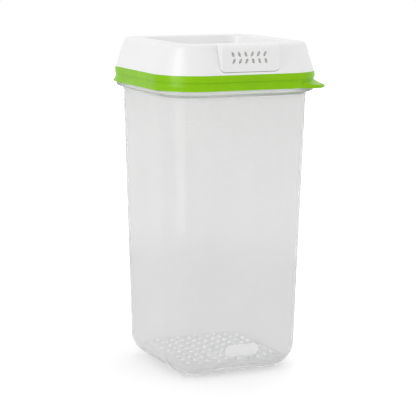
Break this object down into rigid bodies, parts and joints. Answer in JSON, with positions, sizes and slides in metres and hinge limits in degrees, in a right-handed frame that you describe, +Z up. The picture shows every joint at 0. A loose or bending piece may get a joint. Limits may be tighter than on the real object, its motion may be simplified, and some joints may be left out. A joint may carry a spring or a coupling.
{
  "type": "produce keeper",
  "caption": "Tall square food keeper: translucent bin with a crisper tray in its base and a lift-off lid with a green rim, pull tab, vent grille and stacking recess.",
  "frame": {"origin": "on the table, under the centre of the bin, at the bottom of its feet", "axes": "+Z up, -Y towards the front, where the vent is, +X to the right, with the pull tab at the front right corner"},
  "size_m": [0.1412, 0.1412, 0.267],
  "materials": {
    "bin_plastic": "frosted translucent polypropylene",
    "tray_plastic": "milky translucent polypropylene",
    "rim_plastic": "glossy green",
    "shell_plastic": "satin white",
    "seal_rubber": "soft milky elastomer",
    "filter_fabric": "fine grey membrane"
  },
  "bodies": {
    "bin": {"bin": "bin_plastic"},
    "tray": {"crisper_tray": "tray_plastic"},
    "lid": {"lid_rim": "rim_plastic", "lid_shell": "shell_plastic", "lid_seal": "seal_rubber", "vent_cover": "shell_plastic", "vent_filter": "filter_fabric", "filter_gasket": "seal_rubber", "filter_retainer": "shell_plastic"}
  },
  "joints": [
    {"name": "tray_lift", "type": "slide", "parent": "bin", "child": "tray", "axis": [0, 0, 1], "range_m": [0, 0.26]},
    {"name": "lid_lift", "type": "slide", "parent": "tray", "child": "lid", "axis": [0, 0, 1], "range_m": [0, 0.1]}
  ]
}
